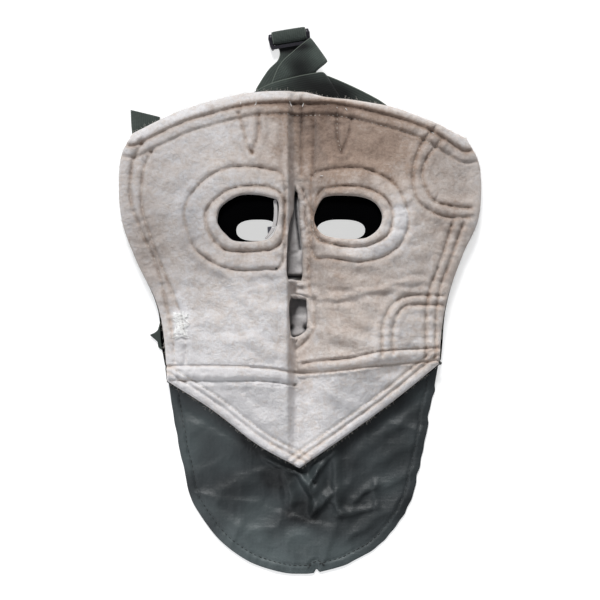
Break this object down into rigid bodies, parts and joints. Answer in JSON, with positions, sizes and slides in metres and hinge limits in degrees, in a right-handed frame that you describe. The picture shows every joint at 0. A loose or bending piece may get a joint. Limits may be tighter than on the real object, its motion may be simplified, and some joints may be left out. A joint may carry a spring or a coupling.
{
  "type": "cold-weather face mask",
  "caption": "Felt-lined cold-weather face mask with eye holes, nose and mouth covers, foldable temples, webbing straps with slide buckles and a throat bib.",
  "frame": {"origin": "middle of the base that the mask lies on, lining up", "axes": "+Z out of the lining towards the wearer, +Y to the forehead, +X to the right of a viewer who faces the lining"},
  "size_m": [0.2738, 0.4076, 0.0325],
  "materials": {
    "felt": "matte wool felt",
    "shell_cloth": "matte cotton",
    "cover_lining": "matte brushed cotton",
    "webbing": "ribbed webbing",
    "buckle_metal": "black enamel",
    "stay_metal": "satin",
    "coated_nylon": "semi-gloss coated nylon"
  },
  "bodies": {
    "mask": {"lining_left": "felt", "lining_right": "felt", "chin_lining_left": "felt", "chin_lining_right": "felt", "eye_roll_left": "felt", "eye_roll_right": "felt", "nose_slot_binding": "felt", "mouth_slot_binding": "felt", "shell_left": "shell_cloth", "shell_right": "shell_cloth", "chin_shell_left": "shell_cloth", "chin_shell_right": "shell_cloth", "nose_cover": "shell_cloth", "mouth_cover": "shell_cloth", "jaw_anchor_left": "shell_cloth", "jaw_anchor_right": "shell_cloth", "nose_cover_lining": "cover_lining", "mouth_cover_lining": "cover_lining", "crown_strap_left": "webbing", "crown_strap_right": "webbing", "crown_strap_loop": "webbing", "jaw_strap_left": "webbing", "jaw_strap_right": "webbing", "nose_stay": "stay_metal", "bib_upper": "coated_nylon", "bib_hem_upper": "coated_nylon"},
    "left_temple": {"temple_lining_left": "felt", "temple_shell_left": "shell_cloth", "temple_anchor_left": "shell_cloth", "temple_strap_left": "webbing"},
    "right_temple": {"temple_lining_right": "felt", "temple_shell_right": "shell_cloth", "temple_anchor_right": "shell_cloth", "temple_strap_right": "webbing"},
    "throat_flap": {"bib_lower": "coated_nylon", "bib_hem_lower": "coated_nylon"},
    "crown_slide": {"crown_buckle": "buckle_metal"},
    "jaw_slide": {"jaw_buckle": "buckle_metal"}
  },
  "joints": [
    {"name": "left_temple_fold", "type": "hinge", "parent": "mask", "child": "left_temple", "pos_m": [-0.0885, 0.078, 0.0225], "axis": [0.2707, 0.9627, 0], "range_deg": [0, 70]},
    {"name": "right_temple_fold", "type": "hinge", "parent": "mask", "child": "right_temple", "pos_m": [0.0885, 0.078, 0.0225], "axis": [0.2707, -0.9627, 0], "range_deg": [0, 70]},
    {"name": "throat_fold", "type": "hinge", "parent": "mask", "child": "throat_flap", "pos_m": [0, -0.14, 0.0022], "axis": [-1, 0, 0], "range_deg": [0, 150]},
    {"name": "crown_buckle_slide", "type": "slide", "parent": "mask", "child": "crown_slide", "axis": [-0.165, 0.9863, 0], "range_m": [-0.014, 0]},
    {"name": "jaw_buckle_slide", "type": "slide", "parent": "mask", "child": "jaw_slide", "axis": [0.8853, 0.465, 0], "range_m": [-0.018, 0]}
  ]
}
